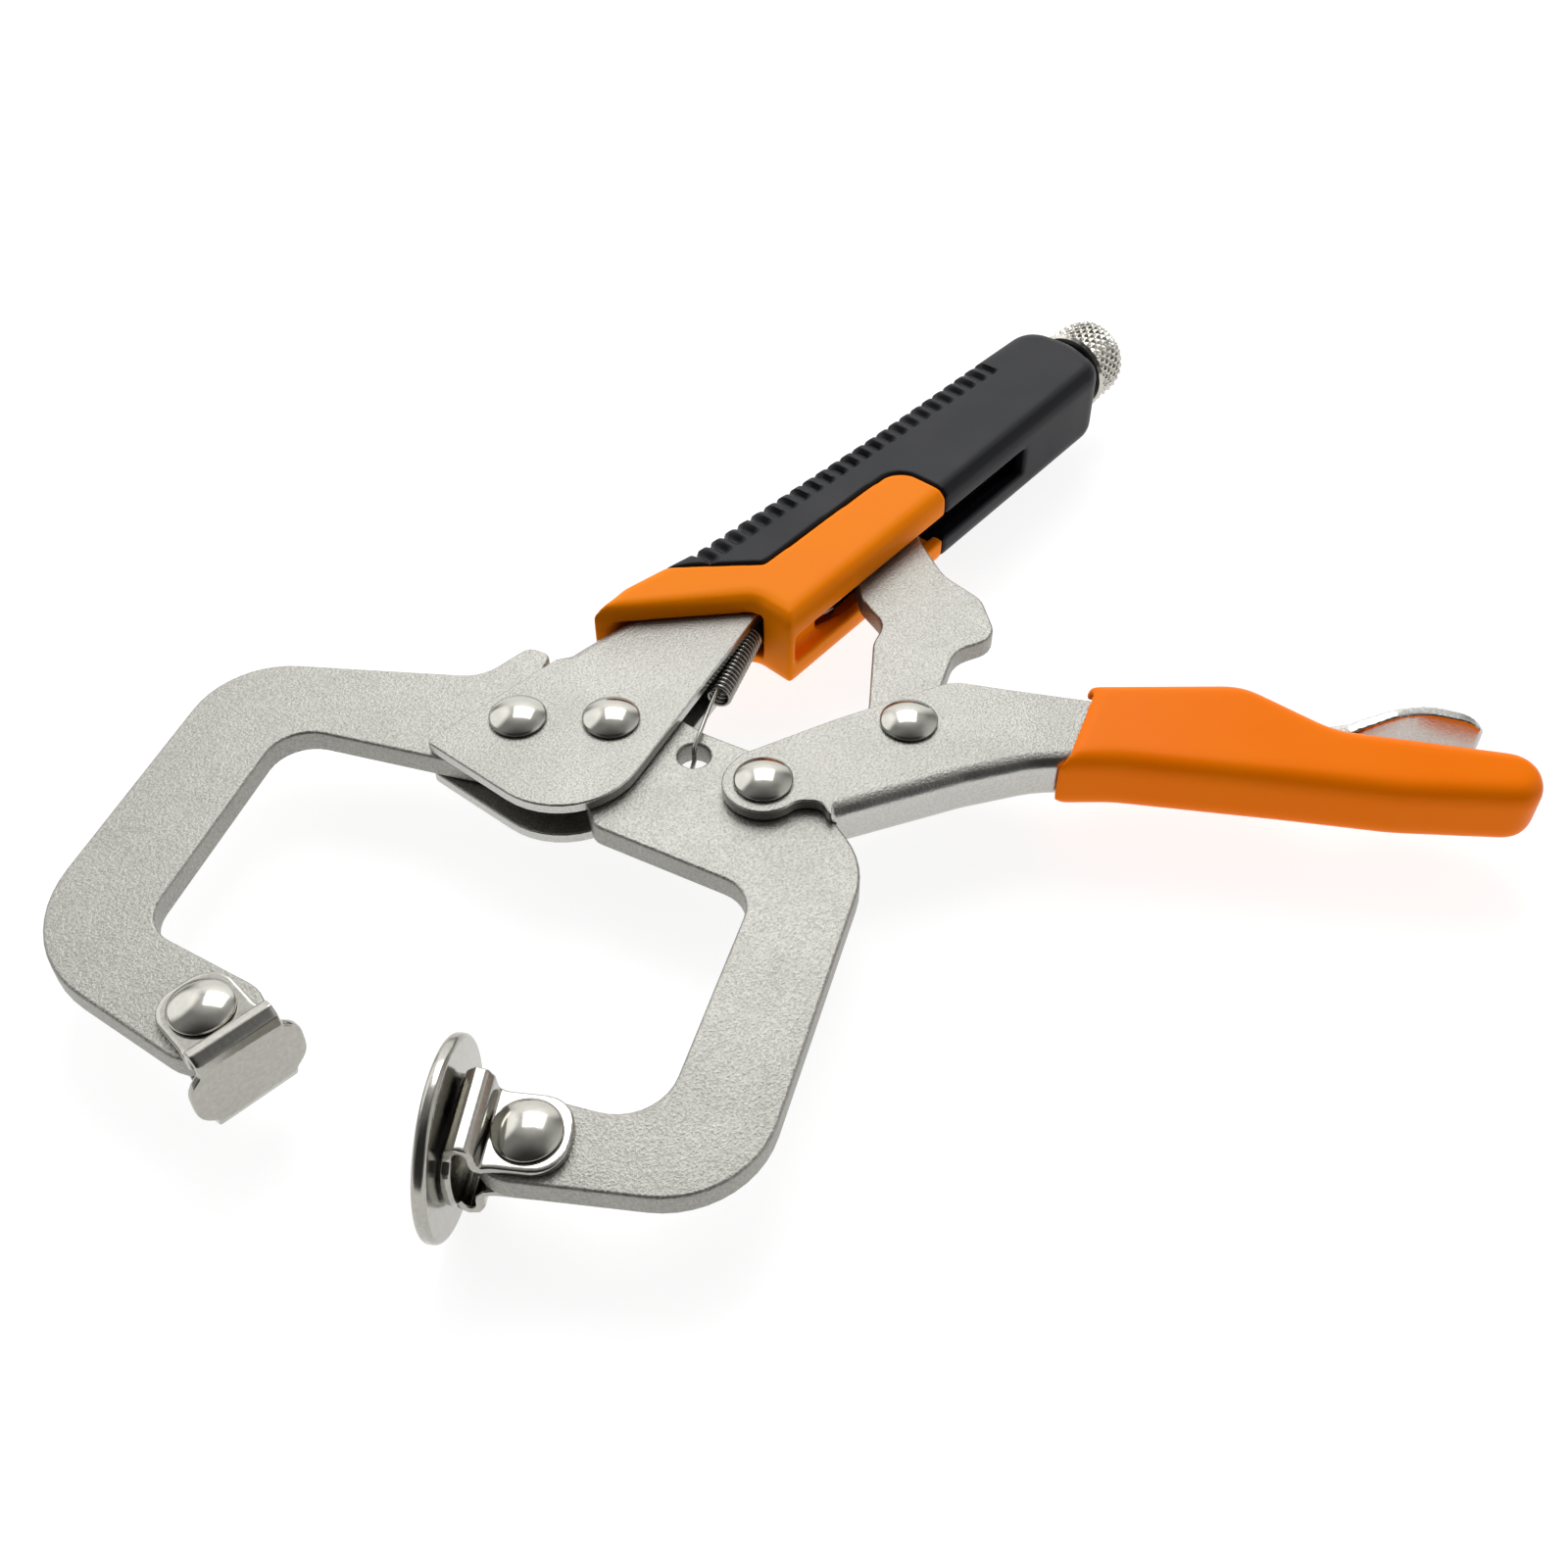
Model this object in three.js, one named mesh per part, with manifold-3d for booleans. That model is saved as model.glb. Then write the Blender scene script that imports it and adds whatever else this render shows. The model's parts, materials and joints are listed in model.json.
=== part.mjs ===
// Locking C-clamp pliers with swivel pads, lying on one side.
// Millimetres. The rivets stand along +Z, the fixed handle runs along +X and the jaws reach along -X.
// Every outline is laid out from the jaw pivot; the last lines move the whole tool so that the
// origin is under the middle of its box, on the surface it lies on.
import * as THREE from "three";
import { mergeVertices } from "three/addons/utils/BufferGeometryUtils.js";
import Module from "manifold-3d";

const wasm = await Module();
wasm.setup();

// ---- Driving dimensions ----
const JAW_THICKNESS = 4.5; // flat bar of both jaws
const LINK_SLACK = 0.5; // the toggle link is this much thinner than the jaw bars
const SHEET = 2.2; // pressed sheet of both handle channels
const SIDE_GAP = 0.3; // play between a plate and the cheek beside it
const FACE_GAP = 0.15; // gap under a rivet head
const HOLE_GAP = 0.3; // radial play of a rivet or pin in its hole
const SHANK_RADIUS = 2.9;
const HEAD_RADIUS = 5.0;
const HEAD_HEIGHT = 2.0;
const PAD_HEAD_RADIUS = 5.2;
const PIN_RADIUS = 1.5; // release lever pin and spring anchor pin

const JAW_REACH = 82.8; // jaw pivot to the fixed pad's rivet, along X
const HANDLE_REACH = 138; // jaw pivot to the rear end of the upper channel
const LOWER_REACH = 124; // handle pivot to the rear end of the lower channel
const LOWER_ANGLE = THREE.MathUtils.degToRad(-50.5); // lower handle's direction, jaws open

const GRIP_THICKNESS = 17.6;
const GRIP_WALL = 2.6; // between the channel and the back of the grip
const SLEEVE_WALL = 1.3;
const SLEEVE_THICKNESS = 12.4;
const SLOT_WIDTH = 6.2; // opening along the underside of the grip
const SLOT_START = 47;
const RECESS_START = 37.8; // shallow groove ahead of the slot
const RECESS_DEPTH = 2.8;
const SLOT_END = 112;
const PART_LINE = 0.3; // gap between the two colours of the grip

const PAD_SHEET = 1.5;
const PAD_FACE = 12.2; // pad rivet to the fixed pad's working face
const PAD_HEIGHT = 17.4;
const PAD_WIDTH = 18.7;
const PAD_EAR_WIDTH = 13.8;
const DISC_RADIUS = 15;
const DISC_THICKNESS = 2.2;
const DISC_FACE = 13; // pad rivet to the disc's working face

const SCREW_RADIUS = 2.25;
const SCREW_HEIGHT = 0.3; // the screw's axis above the jaw pivot, in Y
const SCREW_TIP = 84.5; // jaw pivot to the tip of the screw
const KNOB_RADIUS = 8.6;
const KNOB_LENGTH = 13.4;
const KNOB_GAP = 6; // rear end of the channel to the front of the knob
const SPRING_RADIUS = 2.15;
const WIRE_RADIUS = 0.35;
const SPRING_LENGTH = 17;

// ---- Pivots, from the jaw pivot ----
const JAW_PIVOT = new THREE.Vector2(0, 0);
const FIXED_RIVET = new THREE.Vector2(-10, 12.6);
const HANDLE_PIVOT = new THREE.Vector2(5.5, -29.6);
const LINK_PIVOT = new THREE.Vector2(24.9, 13.9); // in the lower handle's own frame
const FIXED_PAD = new THREE.Vector2(-JAW_REACH, 5.7);
const MOVING_PAD = new THREE.Vector2(15.9 - JAW_REACH, -46.9);
const FIXED_PAD_ANGLE = THREE.MathUtils.degToRad(-97);
const MOVING_PAD_ANGLE = THREE.MathUtils.degToRad(122.5);
const SPRING_HOLE = new THREE.Vector2(4.3, -15.1);
const SPRING_START = new THREE.Vector2(19.8, -8.2);
const SPRING_ANCHOR = new THREE.Vector2(48, 3.2);
const LEVER_PIVOT = new THREE.Vector2(67.5, 11.4); // in the lower handle's own frame

// ---- Derived sizes ----
const HALF_JAW = JAW_THICKNESS / 2;
const LINK_THICKNESS = JAW_THICKNESS - LINK_SLACK;
const CHEEK_INSIDE = HALF_JAW + SIDE_GAP;
const CHEEK_OUTSIDE = CHEEK_INSIDE + SHEET;
const HOLE_RADIUS = SHANK_RADIUS + HOLE_GAP;
const HUB_RADIUS = SHANK_RADIUS + 6.5;
const GRIP_CAVITY = CHEEK_OUTSIDE + PART_LINE;
const WEB_START = 7.2; // where the folded back of the upper channel begins
const BOSS_LENGTH = 10; // threaded block folded into the rear of the channel
const ROUND = 20; // sides of a shank or hole
const CHORD_ERROR = 0.04; // how far a facet may stand inside the arc it follows

// ---- Materials ----
function metal(color, roughness) {
  return new THREE.MeshStandardMaterial({ color, metalness: 1, roughness });
}
function plastic(color, roughness) {
  return new THREE.MeshStandardMaterial({ color, metalness: 0, roughness });
}
const SATIN_NICKEL = () => metal(0xc4c3be, 0.42);
const POLISHED = () => metal(0xd6d4ce, 0.16);
const SPRING_WIRE = () => metal(0x9a9892, 0.3);
const BLACK_GRIP = () => plastic(0x2a2b30, 0.55);
const ORANGE_GRIP = () => plastic(0xff8a00, 0.42);

// ---- Shape helpers ----

// Points of a closed outline whose corners [x, y, radius] are rounded with arcs.
function rounded(corners) {
  const points = [];
  corners.forEach(([x, y, radius], i) => {
    const here = new THREE.Vector2(x, y);
    const [px, py] = corners[(i + corners.length - 1) % corners.length];
    const [nx, ny] = corners[(i + 1) % corners.length];
    const back = new THREE.Vector2(px, py).sub(here);
    const ahead = new THREE.Vector2(nx, ny).sub(here);
    const room = 0.48 * Math.min(back.length(), ahead.length());
    back.normalize();
    ahead.normalize();
    const half = Math.acos(THREE.MathUtils.clamp(back.dot(ahead), -1, 1)) / 2;
    const reach = Math.min(radius / Math.tan(half), room);
    if (reach < 0.05) {
      points.push(here);
      return;
    }
    const arcRadius = reach * Math.tan(half);
    const toCentre = back.clone().add(ahead).normalize().multiplyScalar(arcRadius / Math.sin(half));
    const centre = here.clone().add(toCentre);
    const start = here.clone().addScaledVector(back, reach).sub(centre);
    const end = here.clone().addScaledVector(ahead, reach).sub(centre);
    const sweep = Math.atan2(start.cross(end), start.dot(end));
    const step = 2 * Math.acos(1 - Math.min(CHORD_ERROR / arcRadius, 0.5));
    const steps = Math.max(2, Math.ceil(Math.abs(sweep) / step));
    for (let k = 0; k <= steps; k += 1) {
      points.push(start.clone().rotateAround(JAW_PIVOT, (sweep * k) / steps).add(centre));
    }
  });
  return points;
}

// A flat plate with the given outline, between two heights.
function plate(points, low, high) {
  const geometry = new THREE.ExtrudeGeometry(new THREE.Shape(points), {
    depth: high - low,
    bevelEnabled: false,
  });
  return geometry.translate(0, 0, low);
}

// The same plate with its top and bottom edges rounded by `edge`.
function softPlate(points, low, high, edge) {
  const geometry = new THREE.ExtrudeGeometry(new THREE.Shape(points), {
    depth: high - low - 2 * edge,
    bevelEnabled: true,
    bevelThickness: edge,
    bevelSize: edge,
    bevelOffset: -edge,
    bevelSegments: 3,
  });
  return geometry.translate(0, 0, low + edge);
}

// A round bar along Z, centred on a point.
function roundBar(centre, radius, low, high, sides = ROUND) {
  const bar = new THREE.CylinderGeometry(radius, radius, high - low, sides);
  return bar.rotateX(Math.PI / 2).translate(centre.x, centre.y, (low + high) / 2);
}

// A round bar along X.
function barAlongX(start, end, y, radius, sides = ROUND) {
  const bar = new THREE.CylinderGeometry(radius, radius, end - start, sides);
  return bar.rotateZ(Math.PI / 2).translate((start + end) / 2, y, 0);
}

function toSolid(geometry) {
  const bare = geometry.index ? geometry.toNonIndexed() : geometry.clone();
  bare.deleteAttribute("normal");
  bare.deleteAttribute("uv");
  const merged = mergeVertices(bare, 1e-4);
  return new wasm.Manifold(
    new wasm.Mesh({
      numProp: 3,
      vertProperties: merged.attributes.position.array,
      triVerts: new Uint32Array(merged.index.array),
    }),
  );
}

function toGeometry(solid) {
  const mesh = solid.getMesh();
  const geometry = new THREE.BufferGeometry();
  geometry.setAttribute("position", new THREE.BufferAttribute(mesh.vertProperties, 3));
  geometry.setIndex(new THREE.BufferAttribute(mesh.triVerts, 1));
  geometry.computeVertexNormals();
  return geometry;
}

// One body joined from several shapes, with others cut away.
function build(shapes, cuts = []) {
  let solid = toSolid(shapes[0]);
  shapes.slice(1).forEach((shape) => {
    solid = solid.add(toSolid(shape));
  });
  cuts.forEach((cut) => {
    solid = solid.subtract(toSolid(cut));
  });
  return toGeometry(solid);
}

// The part of one shape that lies inside another.
function shared(shape, inside) {
  return toGeometry(toSolid(shape).intersect(toSolid(inside)));
}

function piece(name, geometry, material) {
  const mesh = new THREE.Mesh(geometry, material);
  mesh.name = name;
  return mesh;
}

// A hole for a rivet or pin, right through every layer.
function hole(centre, radius = HOLE_RADIUS) {
  return roundBar(centre, radius, -20, 20);
}

// A domed rivet whose heads lie outside the half thickness of its stack.
function rivet(name, centre, halfStack, headRadius = HEAD_RADIUS) {
  const seat = halfStack + FACE_GAP;
  const rim = 0.5;
  const half = [new THREE.Vector2(SHANK_RADIUS, 0), new THREE.Vector2(SHANK_RADIUS, seat)];
  half.push(new THREE.Vector2(headRadius, seat), new THREE.Vector2(headRadius, seat + rim));
  const steps = 5;
  for (let k = 1; k < steps; k += 1) {
    const angle = (k / steps) * (Math.PI / 2);
    const radius = headRadius * Math.cos(angle);
    half.push(new THREE.Vector2(radius, seat + rim + (HEAD_HEIGHT - rim) * Math.sin(angle)));
  }
  half.push(new THREE.Vector2(0, seat + HEAD_HEIGHT));
  const lower = half.slice(1).reverse().map((point) => new THREE.Vector2(point.x, -point.y));
  const geometry = new THREE.LatheGeometry([...lower, ...half], ROUND);
  geometry.rotateX(Math.PI / 2).translate(centre.x, centre.y, 0);
  return piece(name, toGeometry(toSolid(geometry)), POLISHED());
}

// ---- Jaws ----
function fixedJaw() {
  const outline = rounded([
    [3.2, 20.3, 1],
    [7, 21.4, 1.9],
    [5.9, 26.3, 2.3],
    [-5, 27.4, 8],
    [-31.1, 65.1, 16],
    [-11.4 - JAW_REACH, 40.2, 22],
    [-7.4 - JAW_REACH, -2.6, 8],
    [9.6 - JAW_REACH, -2.6, 8],
    [4.5 - JAW_REACH, 27.2, 7],
    [-35.4, 44.5, 7.5],
    [-19.8, 8.6, 3],
    [-6, 2, 1],
    [5, 7, 1],
  ]);
  const cuts = [
    roundBar(JAW_PIVOT, HUB_RADIUS + 2 * SIDE_GAP, -20, 20, 2 * ROUND),
    hole(FIXED_RIVET),
    hole(FIXED_PAD),
  ];
  const bar = build([plate(outline, -HALF_JAW, HALF_JAW)], cuts);
  return piece("fixed_jaw", bar, SATIN_NICKEL());
}

function movingJaw() {
  const tipX = MOVING_PAD.x;
  const outline = rounded([
    [HUB_RADIUS, 0, 0],
    [9.6, -13, 6],
    [13.0, -30, 9],
    [3.8, -52.9, 16],
    [11.2 + tipX, -78.3, 17],
    [-10.8 + tipX, -43.5, 8],
    [3.1 + tipX, -36.3, 7.5],
    [13 + tipX, -59.6, 9],
    [-12, -42.3, 6.5],
    [-18.3, -12.8, 3],
    [-HUB_RADIUS, 0, 0],
  ]);
  const shapes = [
    plate(outline, -HALF_JAW, HALF_JAW),
    roundBar(JAW_PIVOT, HUB_RADIUS, -HALF_JAW, HALF_JAW, 2 * ROUND),
  ];
  const cuts = [hole(JAW_PIVOT), hole(HANDLE_PIVOT), hole(MOVING_PAD), hole(SPRING_HOLE, 2.8)];
  return piece("moving_jaw", build(shapes, cuts), SATIN_NICKEL());
}

// ---- Upper handle ----

// Height of the folded back of the channel above the jaw pivot line.
const BACK_LINE = [
  [10, 17.6, 10],
  [40, 13.8, 20],
  [90, 10.4, 30],
  [HANDLE_REACH, 8.2, 0],
];
const CHANNEL_FLOOR = -6.4; // open edge of the channel inside the grip

function upperChannel() {
  const outline = rounded([
    [-24, 20.9, 1.2],
    ...BACK_LINE,
    [HANDLE_REACH, CHANNEL_FLOOR, 0],
    [52, CHANNEL_FLOOR, 8],
    [38.2, -1.7, 8],
    [-23.4, -15.7, 17],
  ]);
  const inside = rounded([
    [-60, -60, 0],
    [-60, 60, 0],
    [WEB_START, 60, 0],
    [WEB_START, BACK_LINE[0][1] - SHEET, 0],
    ...BACK_LINE.slice(1, 3).map(([x, y, radius]) => [x, y - SHEET, radius]),
    [HANDLE_REACH - BOSS_LENGTH, BACK_LINE[3][1] - SHEET, 0],
    [HANDLE_REACH - BOSS_LENGTH, -60, 0],
  ]);
  const cuts = [
    plate(inside, -CHEEK_INSIDE, CHEEK_INSIDE),
    hole(JAW_PIVOT),
    hole(FIXED_RIVET),
    hole(SPRING_ANCHOR, PIN_RADIUS + HOLE_GAP),
    barAlongX(SCREW_TIP - BOSS_LENGTH, HANDLE_REACH + 5, SCREW_HEIGHT, SCREW_RADIUS + HOLE_GAP),
  ];
  const channel = build([plate(outline, -CHEEK_OUTSIDE, CHEEK_OUTSIDE)], cuts);
  return piece("fixed_handle_channel", channel, SATIN_NICKEL());
}

const GRIP_BACK = GRIP_WALL + PART_LINE;
const GRIP_UNDERSIDE = -10.4;
const GRIP_LIP = 2.6; // thickness of the two lips beside the slot

// The grip's outer form before it is split into its two colours.
function gripBody() {
  const end = HANDLE_REACH;
  const outline = rounded([
    [15.2, BACK_LINE[0][1] + 1.4, 0],
    [24, BACK_LINE[0][1] + 2.2, 6],
    [40, BACK_LINE[1][1] + GRIP_BACK, 15],
    [90, BACK_LINE[2][1] + GRIP_BACK, 20],
    [end + 5, BACK_LINE[3][1] + GRIP_BACK, 8],
    [end + 6, -1, 12],
    [end + 2, GRIP_UNDERSIDE, 6],
    [36, GRIP_UNDERSIDE, 0],
    [36.5, -1.5, 4],
  ]);
  return softPlate(outline, -GRIP_THICKNESS / 2, GRIP_THICKNESS / 2, 3);
}

// What the grip leaves open: the channel, the slot of the link and the bore of the knob.
function gripCuts() {
  const cavity = rounded([
    [-5, BACK_LINE[0][1] + PART_LINE, 0],
    ...BACK_LINE.map(([x, y, radius]) => [x + PART_LINE, y + PART_LINE, radius]),
    [HANDLE_REACH + PART_LINE, GRIP_UNDERSIDE + GRIP_LIP, 0],
    [52, GRIP_UNDERSIDE + GRIP_LIP, 6],
    [39, -2.9, 5],
    [-5, -13, 0],
  ]);
  const recess = rounded([
    [RECESS_START, -40, 0],
    [SLOT_START + 1, -40, 0],
    [SLOT_START + 1, GRIP_UNDERSIDE + RECESS_DEPTH, 0],
    [RECESS_START, GRIP_UNDERSIDE + RECESS_DEPTH, 1],
  ]);
  const slot = rounded([
    [SLOT_START, -40, 0],
    [SLOT_END, -40, 0],
    [SLOT_END, 0, 2],
    [SLOT_START, 0, 2],
  ]);
  const knobRoom = barAlongX(
    HANDLE_REACH - 1, HANDLE_REACH + 20, SCREW_HEIGHT, SCREW_RADIUS + 3 * HOLE_GAP);
  return [
    plate(cavity, -GRIP_CAVITY, GRIP_CAVITY),
    plate(slot, -SLOT_WIDTH / 2, SLOT_WIDTH / 2),
    plate(recess, -SLOT_WIDTH / 2, SLOT_WIDTH / 2),
    knobRoom,
  ];
}

// The region of the orange shell in side view, grown by `extra` on its inner edge.
function orangeRegion(extra) {
  return plate(rounded([
    [0, 40, 0],
    [28 + extra, 40, 0],
    [33 + extra, 16.5, 0],
    [45 + extra, 3.2 + extra, 1],
    [74, 2.4 + extra, 3],
    [84 + extra, 1.6 + extra, 5],
    [84 + extra, -9, 4],
    [78 + extra, -40, 0],
    [0, -40, 0],
  ]), -30, 30);
}

function upperGrip() {
  const cuts = gripCuts();
  const sleeve = build([gripBody()], cuts);
  const orange = shared(sleeve, orangeRegion(0));
  const black = build([sleeve], [orangeRegion(PART_LINE)]);
  return [
    piece("upper_grip_orange", orange, ORANGE_GRIP()),
    piece("upper_grip_black", black, BLACK_GRIP()),
  ];
}

function adjustingScrew() {
  const rodEnd = HANDLE_REACH + KNOB_GAP + KNOB_LENGTH / 2;
  const rod = barAlongX(SCREW_TIP, rodEnd, SCREW_HEIGHT, SCREW_RADIUS);
  return piece("adjusting_screw", rod, SPRING_WIRE());
}

function adjustingKnob() {
  const start = HANDLE_REACH + KNOB_GAP;
  const profile = [
    [0, 0],
    [KNOB_RADIUS - 1.2, 0],
    [KNOB_RADIUS, 1.2],
    [KNOB_RADIUS, KNOB_LENGTH - 6],
    [KNOB_RADIUS - 0.8, KNOB_LENGTH - 3.6],
    [KNOB_RADIUS - 2.8, KNOB_LENGTH - 1.5],
    [KNOB_RADIUS - 5.3, KNOB_LENGTH - 0.4],
    [0, KNOB_LENGTH],
  ].map(([radius, along]) => new THREE.Vector2(radius, along));
  const body = new THREE.LatheGeometry(profile, 28);
  body.rotateZ(-Math.PI / 2).translate(start, SCREW_HEIGHT, 0);
  const socketEnd = start + KNOB_LENGTH / 2 + HOLE_GAP;
  const socket = barAlongX(start - 3, socketEnd, SCREW_HEIGHT, SCREW_RADIUS + HOLE_GAP);
  return piece("adjusting_knob", build([body], [socket]), POLISHED());
}

// ---- Return spring ----

// A straight round wire between two points.
function wire(from, to, radius = WIRE_RADIUS, sides = 8) {
  const run = new THREE.LineCurve3(from, to);
  const ring = new THREE.Shape(new THREE.EllipseCurve(0, 0, radius, radius).getPoints(sides).slice(1));
  return new THREE.ExtrudeGeometry(ring, { steps: 1, bevelEnabled: false, extrudePath: run });
}

function returnSpring() {
  const along = SPRING_ANCHOR.clone().sub(SPRING_START).normalize();
  const at = (distance, height = 0) => {
    const point = SPRING_START.clone().addScaledVector(along, distance);
    return new THREE.Vector3(point.x, point.y, height);
  };
  const aboveJaw = HALF_JAW + 2 * WIRE_RADIUS + 2 * SIDE_GAP;
  const hook = new THREE.Vector3(SPRING_HOLE.x, SPRING_HOLE.y, 0);
  const bend = new THREE.Vector3(SPRING_HOLE.x, SPRING_HOLE.y, aboveJaw);
  const anchorEye = at(SPRING_ANCHOR.distanceTo(SPRING_START) - PIN_RADIUS - 2 * WIRE_RADIUS);
  const shapes = [
    wire(at(0), at(SPRING_LENGTH), SPRING_RADIUS, 12),
    wire(hook, bend.clone().setZ(aboveJaw + WIRE_RADIUS)),
    wire(bend, at(0.5, SPRING_RADIUS - WIRE_RADIUS)),
    wire(at(SPRING_LENGTH - 1), anchorEye),
  ];
  return piece("return_spring", build(shapes), SPRING_WIRE());
}

function springAnchor() {
  const reach = CHEEK_OUTSIDE - FACE_GAP;
  const pin = roundBar(SPRING_ANCHOR, PIN_RADIUS, -reach, reach);
  return piece("spring_anchor_pin", pin, SATIN_NICKEL());
}

// ---- Lower handle, in its own frame: X along the handle, Y towards the upper handle ----
const LOWER_WEB = [
  [10.9, -7.4, 0.6],
  [20, -4.1, 10],
  [34, 1, 20],
  [46, 4.3, 20],
  [60, 4.9, 20],
  [88, 0.8, 30],
  [LOWER_REACH - 4, -3.4, 3],
];
const LOWER_EDGE = [
  [LOWER_REACH, 3, 3],
  [97, 9.4, 10],
  [84, 18.4, 10],
  [60, 18.6, 10],
  [42, 22.2, 12],
  [33, 24.2, 8],
  [12, 14.6, 20],
  [-4.6, 6, 5],
];
const EAR_RADIUS = 7;
const EAR_EDGE = [
  [-EAR_RADIUS, 0, 2],
  [1.2, -EAR_RADIUS, 2],
  [6.2, -4.3, 3],
  [9.6, -4.6, 1.8],
];
const EAR_CLEARANCE = 14; // handle pivot to the start of the folded web

function lowerChannel() {
  const outline = rounded([...LOWER_WEB, ...LOWER_EDGE, ...EAR_EDGE]);
  const inside = rounded([
    ...LOWER_WEB.slice(0, 6).map(([x, y, radius]) => [x, y + SHEET, radius]),
    [LOWER_REACH - 4, -3.4 + SHEET, 0],
    [LOWER_REACH - 4, 60, 0],
    [-40, 60, 0],
    [-40, -5, 0],
  ]);
  const shapes = [
    plate(outline, -CHEEK_OUTSIDE, CHEEK_OUTSIDE),
    roundBar(JAW_PIVOT, EAR_RADIUS, -CHEEK_OUTSIDE, CHEEK_OUTSIDE, 2 * ROUND),
  ];
  const cuts = [
    plate(inside, -CHEEK_INSIDE, CHEEK_INSIDE),
    roundBar(JAW_PIVOT, EAR_CLEARANCE, -CHEEK_INSIDE, CHEEK_INSIDE, 2 * ROUND),
    hole(JAW_PIVOT),
    hole(LINK_PIVOT),
    hole(LEVER_PIVOT, PIN_RADIUS + HOLE_GAP),
  ];
  return piece("lower_handle", build(shapes, cuts), SATIN_NICKEL());
}

function lowerSleeve() {
  const grow = SLEEVE_WALL + SIDE_GAP;
  const outline = rounded([
    [49.5, 5 - grow, 0],
    [60, 4.9 - grow, 20],
    [88, 0.8 - grow, 30],
    [106, -2.1 - grow, 30],
    [LOWER_REACH + 6, -3.5 - grow, 5.5],
    [LOWER_REACH + 7, 4.3 + grow, 5.5],
    [98, 10.6 + grow, 12],
    [84, 21.6 + grow, 10],
    [57, 21.4 + grow, 0],
  ]);
  const cavity = rounded([
    ...LOWER_WEB.slice(2, 6).map(([x, y, radius]) => [x, y - SIDE_GAP, radius]),
    [LOWER_REACH - 4, -3.4 - SIDE_GAP, 3],
    [LOWER_REACH + SIDE_GAP, 3 - SIDE_GAP, 3],
    [LOWER_REACH + SIDE_GAP, 4.2, 1],
    [97, 9.4 + SIDE_GAP, 10],
    [84, 20.4, 10],
    [60, 20.4, 10],
    [42, 24, 0],
    [30, 24, 0],
  ]);
  const leverSlot = rounded([
    [30, 8, 0],
    [119, 8, 2],
    [119, 60, 0],
    [30, 60, 0],
  ]);
  const cuts = [
    plate(cavity, -CHEEK_OUTSIDE - SIDE_GAP, CHEEK_OUTSIDE + SIDE_GAP),
    plate(leverSlot, -CHEEK_INSIDE, CHEEK_INSIDE),
  ];
  const half = SLEEVE_THICKNESS / 2;
  return piece("lower_grip_sleeve", build([softPlate(outline, -half, half, 3)], cuts), ORANGE_GRIP());
}

function toggleLink() {
  const half = LINK_THICKNESS / 2;
  const outline = rounded([
    [16.6, 10.9, 7.5],
    [27.8, 5.6, 7.5],
    [33.6, 15, 7.5],
    [31.3, 25.1, 4],
    [34.5, 34.9, 6],
    [42.5, 38.6, 4.5],
    [40.4, 49.2, 6],
    [33.8, 56.1, 8],
    [29.9, 66.2, 6],
    [28.8, 73.6, 5],
    [19.4, 74.6, 5],
    [17.1, 64.9, 4],
    [16.9, 56.4, 3],
    [17.8, 49.3, 4],
    [21.9, 42.2, 4],
    [19.7, 37.2, 6],
    [18.4, 21.2, 6],
  ]);
  const bar = build([plate(outline, -half, half)], [hole(LINK_PIVOT)]);
  return piece("toggle_link", bar, SATIN_NICKEL());
}

function releaseLever() {
  const half = CHEEK_INSIDE - SIDE_GAP;
  const stem = rounded([
    [57, 7.5, 1],
    [72, 8, 10],
    [100, 13.2, 25],
    [114.5, 16.2, 10],
    [124, 13.3, 1],
    [125.2, 14.9, 1],
    [115.5, 18.3, 10],
    [98, 15.4, 14],
    [76, 14.4, 8],
    [66, 15, 4],
    [58.5, 10.4, 1.2],
  ]);
  const spoon = rounded([
    [101, -half, 3],
    [109, -4.6, 6],
    [125, -4.6, 4.5],
    [125, 4.6, 4.5],
    [109, 4.6, 6],
    [101, half, 3],
  ]);
  const spoonPlan = plate(spoon, -40, 40).rotateX(Math.PI / 2);
  const thin = shared(plate(stem, -6, 6), spoonPlan);
  const geometry = build([plate(stem, -half, half), thin], [hole(LEVER_PIVOT, PIN_RADIUS + HOLE_GAP)]);
  return piece("release_lever", geometry, SATIN_NICKEL());
}

function leverPin() {
  const reach = CHEEK_OUTSIDE - FACE_GAP;
  return piece("release_lever_pin", roundBar(LEVER_PIVOT, PIN_RADIUS, -reach, reach), SATIN_NICKEL());
}

// ---- Swivel pads, each in its own frame: X along the working face's normal ----

// A folded strip of sheet seen from its edge, from a centre line of [x, z] points.
function foldedStrip(line, thickness, halfWidth) {
  const centre = line.map(([x, z]) => new THREE.Vector2(x, z));
  const side = (sign) => centre.map((point, i) => {
    const before = centre[Math.max(i - 1, 0)];
    const after = centre[Math.min(i + 1, centre.length - 1)];
    const along = after.clone().sub(before).normalize();
    const normal = new THREE.Vector2(-along.y, along.x);
    return point.clone().addScaledVector(normal, (sign * thickness) / 2);
  });
  const strip = plate([...side(1), ...side(-1).reverse()], -halfWidth, halfWidth);
  return strip.rotateX(Math.PI / 2);
}

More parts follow.
